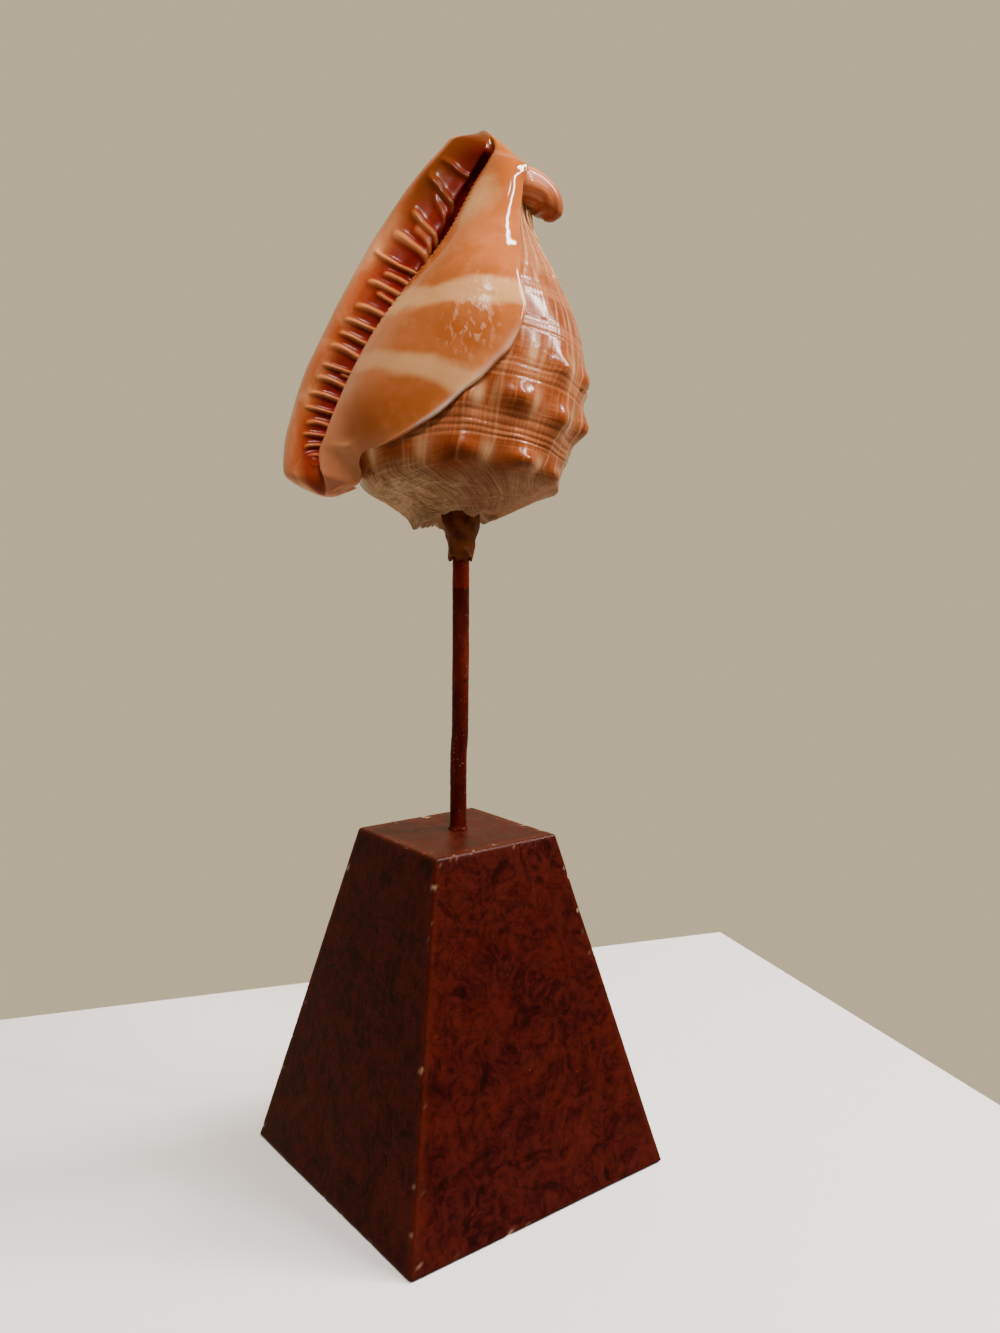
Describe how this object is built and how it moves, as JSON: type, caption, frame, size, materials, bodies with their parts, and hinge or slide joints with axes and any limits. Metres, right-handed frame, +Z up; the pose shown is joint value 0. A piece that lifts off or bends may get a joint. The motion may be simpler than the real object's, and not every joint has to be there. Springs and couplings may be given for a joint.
{
  "type": "mounted bull-mouth helmet shell",
  "caption": "Large toothed, glossy-lipped helmet shell mounted spire down on a thin dowel that rises from a tapered lacquered block, for display.",
  "frame": {"origin": "middle of the block's flat underside, where the object rests", "axes": "+Z up along the dowel, X and Y along the block's sides; the shell's aperture faces between -X and -Y"},
  "size_m": [0.11, 0.1078, 0.375],
  "materials": {
    "shell": "glossy orange and cream callus, satin banded and knobbed body whorl",
    "putty": "rough brown filler",
    "dowel": "dark red paint, worn",
    "block": "mottled red-brown lacquer, chipped edges"
  },
  "bodies": {
    "root": {"shell": "shell", "mounting_putty": "putty", "rod": "dowel", "base_block": "block"}
  },
  "joints": []
}
